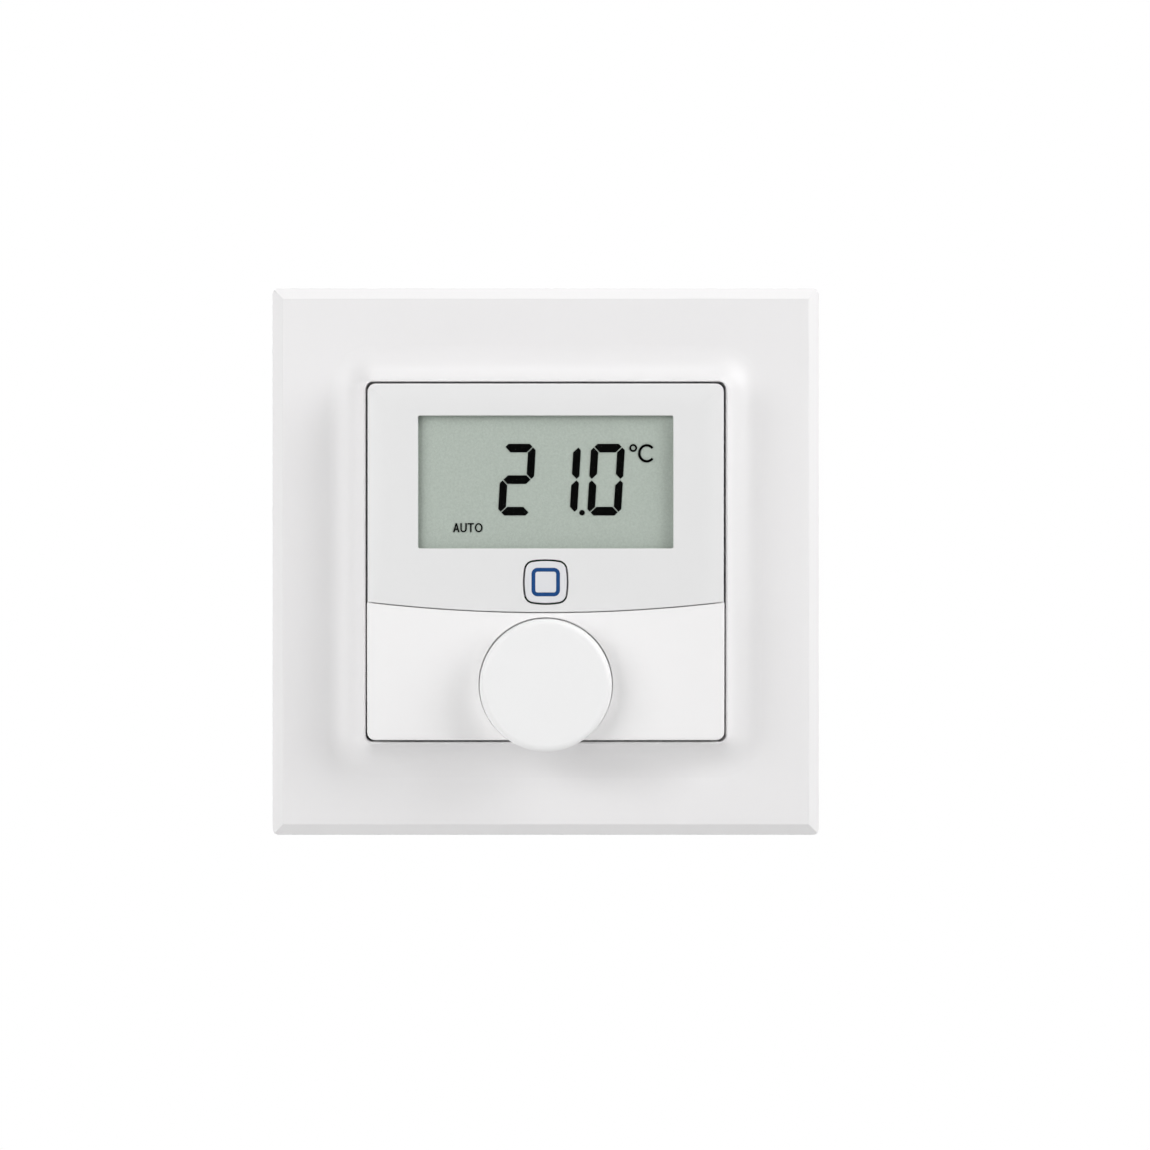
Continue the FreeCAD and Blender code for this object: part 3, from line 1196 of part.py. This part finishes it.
def coil_spring(side, z):
    """Coil between the contact sheet on this side and the flat end of the cell."""
    length = SPRING_SPACE - 2 * SPRING_WIRE_RADIUS - 2 * SPRING_END_GAP
    radius = SPRING_RADIUS - SPRING_WIRE_RADIUS
    helix = Part.makeHelix(length / SPRING_TURNS, length, radius)
    start = Vector(radius, 0, 0)
    profile = Part.Wire(Part.makeCircle(SPRING_WIRE_RADIUS, start, Vector(0, 1, 0)))
    coil = Part.Wire(helix).makePipeShell([profile], True, True)
    coil.rotate(Vector(0, 0, 0), Vector(0, 1, 0), 90)
    if side < 0:
        start_x = -(BAY_LENGTH / 2 - CONTACT_THICKNESS) + SPRING_WIRE_RADIUS + SPRING_END_GAP
    else:
        start_x = BAY_LENGTH / 2 - CONTACT_THICKNESS - SPRING_WIRE_RADIUS - SPRING_END_GAP - length
    coil.translate(Vector(start_x, -CELL_DEPTH, z))
    return coil


NODES = [
    mounting_plate, cover_frame, rear_housing, front_shell, display_cover, front_polariser,
    lcd_glass, display_segments, rear_reflector, backlight_guide, lcd_holder,
    contact_strip, backlight_leds, system_button, status_light_ring, switch_body, switch_plunger,
    status_leds, encoder_base, encoder_bushing, encoder_plunger, encoder_shaft, adjustment_knob,
    circuit_board, microcontroller, radio_module, antenna, climate_sensor,
    buffer_capacitor, board_passives, case_screws, battery_cell_upper, battery_cell_lower,
    battery_bridge, battery_terminals, battery_springs,
]

os.makedirs("parts", exist_ok=True)
for node in NODES:
    node().exportStep("parts/" + node.__name__ + ".step")
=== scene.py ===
import json
import math

import bmesh
import bpy
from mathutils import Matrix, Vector


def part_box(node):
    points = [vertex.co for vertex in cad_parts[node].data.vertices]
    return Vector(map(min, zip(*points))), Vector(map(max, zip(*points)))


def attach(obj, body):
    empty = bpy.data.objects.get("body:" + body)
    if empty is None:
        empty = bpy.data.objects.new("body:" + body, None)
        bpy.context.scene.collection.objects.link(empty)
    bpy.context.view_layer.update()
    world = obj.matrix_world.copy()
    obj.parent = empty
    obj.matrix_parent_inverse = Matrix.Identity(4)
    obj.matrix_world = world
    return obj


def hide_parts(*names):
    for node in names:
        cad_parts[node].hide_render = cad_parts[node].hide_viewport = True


scene = bpy.context.scene
MM = 0.001

# ---------------------------------------------------------------- camera
CAMERA_DISTANCE = 0.443      # in front of the wall plane, level with the frame's middle

camera_data = bpy.data.cameras.new("camera")
camera = bpy.data.objects.new("camera", camera_data)
scene.collection.objects.link(camera)
scene.camera = camera
camera.location = (0.0, -CAMERA_DISTANCE, 0.0)
camera.rotation_euler = (math.radians(90), 0, 0)
camera_data.sensor_width = 36.0
camera_data.lens = 85.5
camera_data.shift_x = 0.02545
camera_data.shift_y = -0.0116
camera_data.clip_start = 0.01
camera_data.clip_end = 20.0

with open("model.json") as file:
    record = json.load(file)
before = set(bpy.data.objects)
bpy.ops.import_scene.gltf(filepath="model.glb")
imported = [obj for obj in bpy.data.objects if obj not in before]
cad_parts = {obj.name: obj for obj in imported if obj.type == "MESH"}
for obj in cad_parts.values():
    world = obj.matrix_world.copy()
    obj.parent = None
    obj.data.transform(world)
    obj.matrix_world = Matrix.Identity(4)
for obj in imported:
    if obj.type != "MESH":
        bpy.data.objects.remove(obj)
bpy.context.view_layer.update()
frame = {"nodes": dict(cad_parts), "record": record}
nodes = frame["nodes"]


# ---------------------------------------------------------------- materials
NOISE_LOW = 0.3              # a noise value rarely leaves this range
NOISE_HIGH = 0.7
BEVEL_SAMPLES = 6
MOTTLE_DETAIL = 3.0
GLOSS_DETAIL = 4.0
GRAIN_DETAIL = 2.0
GLOSS_FINER = 4              # gloss varies this much finer than colour


def new_material(name):
    material = bpy.data.materials.new(name)
    material.use_nodes = True
    tree = material.node_tree
    shader = tree.nodes["Principled BSDF"]
    return material, tree, shader


def object_coordinates(tree):
    return tree.nodes.new("ShaderNodeTexCoord").outputs["Object"]


def noise(tree, scale, detail, stretch=None):
    node = tree.nodes.new("ShaderNodeTexNoise")
    node.inputs["Scale"].default_value = scale
    node.inputs["Detail"].default_value = detail
    source = object_coordinates(tree)
    if stretch:
        mapping = tree.nodes.new("ShaderNodeMapping")
        mapping.inputs["Scale"].default_value = stretch
        tree.links.new(source, mapping.inputs["Vector"])
        source = mapping.outputs["Vector"]
    tree.links.new(source, node.inputs["Vector"])
    return node.outputs["Fac"]


def ranged(tree, value, low_value, high_value):
    node = tree.nodes.new("ShaderNodeMapRange")
    node.inputs["From Min"].default_value = NOISE_LOW
    node.inputs["From Max"].default_value = NOISE_HIGH
    node.inputs["To Min"].default_value = low_value
    node.inputs["To Max"].default_value = high_value
    tree.links.new(value, node.inputs["Value"])
    return node.outputs["Result"]


def two_tone(tree, value, dark, light):
    ramp = tree.nodes.new("ShaderNodeValToRGB")
    ramp.color_ramp.elements[0].position = NOISE_LOW
    ramp.color_ramp.elements[1].position = NOISE_HIGH
    ramp.color_ramp.elements[0].color = (*dark, 1)
    ramp.color_ramp.elements[1].color = (*light, 1)
    tree.links.new(value, ramp.inputs["Fac"])
    return ramp.outputs["Color"]


def add_bump(tree, shader, value, depth, edge=0.0):
    """Fine grain, and edges rounded in the shading where a radius is given."""
    bump = tree.nodes.new("ShaderNodeBump")
    if edge:
        bevel = tree.nodes.new("ShaderNodeBevel")
        bevel.samples = BEVEL_SAMPLES
        bevel.inputs["Radius"].default_value = edge
        tree.links.new(bevel.outputs["Normal"], bump.inputs["Normal"])
    bump.inputs["Strength"].default_value = 1.0
    bump.inputs["Distance"].default_value = depth
    tree.links.new(value, bump.inputs["Height"])
    tree.links.new(bump.outputs["Normal"], shader.inputs["Normal"])


def surface(name, colour, spread, roughness, grain, depth, blotch=120, metallic=0.0,
            coat=0.0, alpha=1.0, specular=0.5, stretch=None, edge=0.0):
    """Procedural finish: faint colour mottling, uneven gloss and a fine grain."""
    material, tree, shader = new_material(name)
    mottle = noise(tree, blotch, MOTTLE_DETAIL, stretch)
    dark = tuple(max(0.0, c * (1 - spread)) for c in colour)
    light = tuple(min(1.0, c * (1 + spread)) for c in colour)
    tree.links.new(two_tone(tree, mottle, dark, light), shader.inputs["Base Color"])
    gloss = noise(tree, blotch * GLOSS_FINER, GLOSS_DETAIL, stretch)
    tree.links.new(ranged(tree, gloss, *roughness), shader.inputs["Roughness"])
    add_bump(tree, shader, noise(tree, grain, GRAIN_DETAIL, stretch), depth, edge)
    shader.inputs["Metallic"].default_value = metallic
    shader.inputs["Coat Weight"].default_value = coat
    shader.inputs["Alpha"].default_value = alpha
    shader.inputs["Specular IOR Level"].default_value = specular
    return material


# Colour, spread of its mottling, range of roughness, scale and depth of the grain, and what is special.
FRAME_WHITE = (0.828, 0.82, 0.823)
finish_rows = {
    "white_frame": (FRAME_WHITE, 0.002, (0.4, 0.44), 5200, 0.0000012, {"edge": 0.2 * MM}),
    "white_shell": ((0.9, 0.893, 0.893), 0.002, (0.36, 0.4), 5200, 0.0000012, {"edge": 0.15 * MM}),
    "white_cover": ((0.787, 0.787, 0.787), 0.002, (0.4, 0.44), 5200, 0.0000012, {"edge": 0.12 * MM}),
    "white_knob": ((0.885, 0.885, 0.885), 0.002, (0.4, 0.45), 5200, 0.0000012, {"edge": 0.12 * MM}),
    "white_button": ((0.75, 0.755, 0.775), 0.008, (0.32, 0.4), 6000, 0.000003, {"edge": 0.1 * MM}),
    "blue_ring": ((0.009, 0.06, 0.21), 0.06, (0.35, 0.5), 3000, 0.000004,
        {"blotch": 900, "specular": 0.2}),
    "polariser": ((0.05, 0.055, 0.05), 0.02, (0.12, 0.2), 7000, 0.000001, {"alpha": 0.012}),
    "display_glass": ((0.7, 0.76, 0.72), 0.02, (0.05, 0.1), 2500, 0.000001, {"alpha": 0.06}),
    "segment_black": ((0.002, 0.002, 0.002), 0.2, (0.6, 0.8), 4000, 0.000002, {"specular": 0.0}),
    "reflector": ((0.435, 0.492, 0.44), 0.07, (0.5, 0.65), 5200, 0.00001, {"blotch": 3200}),
    "light_guide": ((0.8, 0.82, 0.8), 0.02, (0.2, 0.3), 2500, 0.000004, {}),
    "holder_white": ((0.7, 0.7, 0.69), 0.02, (0.5, 0.62), 4200, 0.00001, {}),
    "elastomer": ((0.06, 0.06, 0.07), 0.5, (0.6, 0.75), 2500, 0.00001, {"stretch": (9, 1, 1)}),
    "led_package": ((0.8, 0.75, 0.5), 0.05, (0.15, 0.25), 4000, 0.000003, {}),
    "switch_black": ((0.015, 0.015, 0.016), 0.3, (0.45, 0.6), 4200, 0.00001, {}),
    "switch_actuator": ((0.55, 0.5, 0.4), 0.04, (0.4, 0.5), 4200, 0.00001, {}),
    "encoder_metal": ((0.55, 0.55, 0.56), 0.06, (0.3, 0.45), 3200, 0.000008, {"metallic": 1.0}),
    "shaft_plastic": ((0.55, 0.55, 0.53), 0.03, (0.4, 0.5), 4200, 0.000008, {}),
    "plate_grey": ((0.42, 0.43, 0.43), 0.03, (0.5, 0.64), 2600, 0.00002, {"edge": 0.15 * MM}),
    "housing_white": ((0.62, 0.62, 0.61), 0.02, (0.48, 0.6), 2600, 0.00002, {"edge": 0.15 * MM}),
    "board_green": ((0.02, 0.11, 0.045), 0.12, (0.3, 0.45), 1800, 0.00001, {"blotch": 400}),
    "chip_black": ((0.018, 0.018, 0.02), 0.25, (0.45, 0.6), 5000, 0.00001, {}),
    "shield_tin": ((0.6, 0.6, 0.6), 0.08, (0.25, 0.42), 1600, 0.00001,
        {"metallic": 1.0, "stretch": (1, 1, 14)}),
    "copper_wire": ((0.72, 0.36, 0.2), 0.08, (0.25, 0.4), 3200, 0.000004, {"metallic": 1.0}),
    "can_metal": ((0.66, 0.67, 0.7), 0.05, (0.22, 0.35), 2400, 0.000006, {"metallic": 1.0}),
    "ceramic_tan": ((0.35, 0.24, 0.14), 0.12, (0.4, 0.5), 4200, 0.00001, {}),
    "screw_steel": ((0.5, 0.5, 0.52), 0.1, (0.22, 0.4), 2200, 0.00001, {"metallic": 1.0}),
    "cell_jacket": ((0.02, 0.022, 0.026), 0.2, (0.2, 0.3), 2200, 0.000004, {"coat": 0.3}),
    "contact_nickel": ((0.66, 0.64, 0.58), 0.06, (0.18, 0.3), 2200, 0.000006, {"metallic": 1.0}),
}
finish = {name: surface(name, *row[:-1], **row[-1]) for name, row in finish_rows.items()}

slots = {entry["node"]: entry["material_slot"] for entry in frame["record"]["subparts"]}
for name, obj in nodes.items():
    material = finish[slots[name]]
    if not obj.data.materials:
        obj.data.materials.append(material)
    for index in range(len(obj.data.materials)):
        obj.data.materials[index] = material


# ---------------------------------------------------------------- display
CORNER_STEPS = 6
DISPLAY_CORNER = 0.2 * MM


def link(obj):
    scene.collection.objects.link(obj)
    return obj


def rounded_outline(x0, x1, z0, z1):
    """Points round a rectangle with small corners."""
    points = []
    left = x0 + DISPLAY_CORNER
    right = x1 - DISPLAY_CORNER
    low_z = z0 + DISPLAY_CORNER
    high_z = z1 - DISPLAY_CORNER
    corners = ((right, high_z, 0), (left, high_z, 90), (left, low_z, 180), (right, low_z, 270))
    for cx, cz, start in corners:
        for i in range(CORNER_STEPS + 1):
            angle = math.radians(start + 90 * i / CORNER_STEPS)
            points.append((
                cx + DISPLAY_CORNER * math.cos(angle), cz + DISPLAY_CORNER * math.sin(angle)))
    return points


def slab(name, outline, front, rear, edge):
    """Flat plate with a small bevelled front edge."""
    centre_x = sum(x for x, _ in outline) / len(outline)
    centre_z = sum(z for _, z in outline) / len(outline)
    mesh = bpy.data.meshes.new(name)
    build = bmesh.new()
    rings = []
    half_x = max(x for x, _ in outline) - centre_x
    half_z = max(z for _, z in outline) - centre_z
    for depth, inset in ((rear, 0.0), (front + edge, 0.0), (front, edge)):
        ring = []
        for x, z in outline:
            px = centre_x + (x - centre_x) * (1 - inset / half_x)
            pz = centre_z + (z - centre_z) * (1 - inset / half_z)
            ring.append(build.verts.new((px, depth, pz)))
        rings.append(ring)
    count = len(outline)
    for lower, upper in zip(rings, rings[1:]):
        for i in range(count):
            j = (i + 1) % count
            build.faces.new((lower[i], lower[j], upper[j], upper[i]))
    build.faces.new(list(reversed(rings[0])))
    build.faces.new(rings[-1])
    bmesh.ops.recalc_face_normals(build, faces=build.faces)
    build.to_mesh(mesh)
    build.free()
    return link(bpy.data.objects.new(name, mesh))


def new_piece(obj, body, slot_name, *replaced):
    obj.data.materials.clear()
    obj.data.materials.append(finish[slot_name])
    for polygon in obj.data.polygons:
        polygon.material_index = 0
    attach(obj, body)
    if replaced:
        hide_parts(*replaced)
    return obj


# The display's front as one opaque panel, its darkened areas just above it, and a clear pane on top.
PANEL_FRONT = 0.62 * MM
PANEL_REAR = 0.9 * MM
PANEL_INSET = 0.05 * MM
PANEL_EDGE = 0.02 * MM
PANE_THICKNESS = 0.05 * MM
PANE_EDGE = 0.01 * MM
CHARACTER_LIFT = 0.07 * MM
MODE_TEXT_END_X = -9.0 * MM  # the mode word lies left of this
MODE_STROKE_GAIN = 0.04 * MM
UNIT_LETTER_START_X = 12.7 * MM  # the degree sign and its letter lie right of this
UNIT_STROKE_GAIN = 0.025 * MM
SIDEWAYS = 0.1               # a normal with at least this share in the display's plane
film_low, film_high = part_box("front_polariser")
cell_low, cell_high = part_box("display_segments")
glass_low, glass_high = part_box("lcd_glass")
film_front = film_low[1]
panel_outline = rounded_outline(
    glass_low[0] + PANEL_INSET, glass_high[0] - PANEL_INSET,
    glass_low[2] + PANEL_INSET, glass_high[2] - PANEL_INSET)
panel = slab(
    "display_panel", panel_outline, film_front + PANEL_FRONT, film_front + PANEL_REAR, PANEL_EDGE)
new_piece(panel, "electronics_unit", "reflector", "rear_reflector", "lcd_glass")
pane_outline = rounded_outline(film_low[0], film_high[0], film_low[2], film_high[2])
pane = slab("display_pane", pane_outline, film_front, film_front + PANE_THICKNESS, PANE_EDGE)
new_piece(pane, "electronics_unit", "polariser", "front_polariser")
segment_mesh = nodes["display_segments"].data.copy()
segments = link(bpy.data.objects.new("display_characters", segment_mesh))
shift = film_front + PANEL_FRONT - CHARACTER_LIFT - cell_low[1]
outward = [vertex.normal.copy() for vertex in segment_mesh.vertices]
for vertex, normal in zip(segment_mesh.vertices, outward):
    # The small letters get slightly bolder strokes than in the cell, or they would look faint.
    bolder = 0.0
    if vertex.co.x < MODE_TEXT_END_X:
        bolder = MODE_STROKE_GAIN
    if vertex.co.x > UNIT_LETTER_START_X:
        bolder = UNIT_STROKE_GAIN
    side = Vector((normal.x, 0.0, normal.z))
    if side.length > SIDEWAYS:
        vertex.co += side.normalized() * bolder
    vertex.co.y += shift
new_piece(segments, "electronics_unit", "segment_black", "display_segments")

# ---------------------------------------------------------------- stage and light
FLOOR_HALF = 1.5
FLOOR_Z = -0.6
floor_corners = [
    (x * FLOOR_HALF, y * FLOOR_HALF, FLOOR_Z) for x, y in ((-1, -1), (1, -1), (1, 1), (-1, 1))]
floor_mesh = bpy.data.meshes.new("floor")
floor_mesh.from_pydata(floor_corners, [], [(0, 1, 2, 3)])
floor = link(bpy.data.objects.new("floor", floor_mesh))
floor_mesh.materials.append(
    surface("floor_pale", (0.85, 0.85, 0.85), 0.01, (0.6, 0.7), 60, 0.0002, blotch=4))


def area_light(name, place, width, power):
    """Square light that faces the frame's middle."""
    data = bpy.data.lights.new(name, "AREA")
    data.shape = "RECTANGLE"
    data.size = width
    data.size_y = width
    data.energy = power
    light = link(bpy.data.objects.new(name, data))
    light.location = place
    light.rotation_euler = (-Vector(place)).to_track_quat("-Z", "Y").to_euler()


area_light("key_left", (-0.543, -0.566, 0.158), 0.6, 4.35)
area_light("key_right", (0.702, -0.325, 0.205), 0.4, 2.4)
area_light("high_right", (0.539, -0.351, 0.475), 0.4, 2.45)
area_light("top_rake", (0, -0.084, 0.796), 0.2, 0.6)
area_light("front_fill", (0, -1.5, 0.2), 1.2, 1.8)

# The backdrop behind the wall plane lights the edges, and the camera sees it as plain white.
BACKDROP_GLOW = 1.1
FRONT_GLOW = 0.0
GLOW_BLEND = 0.1             # width of the change from front to back, as a share of the direction

world = bpy.data.worlds.new("world")
scene.world = world
world.use_nodes = True
tree = world.node_tree
tree.nodes.clear()
output = tree.nodes.new("ShaderNodeOutputWorld")
mix = tree.nodes.new("ShaderNodeMixShader")
paths = tree.nodes.new("ShaderNodeLightPath")
direction = tree.nodes.new("ShaderNodeTexCoord").outputs["Generated"]
split = tree.nodes.new("ShaderNodeSeparateXYZ")
tree.links.new(direction, split.inputs["Vector"])
behind = tree.nodes.new("ShaderNodeMapRange")
behind.inputs["From Min"].default_value = -GLOW_BLEND
behind.inputs["From Max"].default_value = GLOW_BLEND
behind.inputs["To Min"].default_value = FRONT_GLOW
behind.inputs["To Max"].default_value = BACKDROP_GLOW
tree.links.new(split.outputs["Y"], behind.inputs["Value"])
fill = tree.nodes.new("ShaderNodeBackground")
tree.links.new(behind.outputs["Result"], fill.inputs["Strength"])
fill.inputs["Color"].default_value = (1, 1, 1, 1)
seen = tree.nodes.new("ShaderNodeBackground")
seen.inputs["Color"].default_value = (1, 1, 1, 1)
seen.inputs["Strength"].default_value = 1.0
tree.links.new(paths.outputs["Is Camera Ray"], mix.inputs["Fac"])
tree.links.new(fill.outputs["Background"], mix.inputs[1])
tree.links.new(seen.outputs["Background"], mix.inputs[2])
tree.links.new(mix.outputs["Shader"], output.inputs["Surface"])
scene.view_settings.view_transform = "Standard"
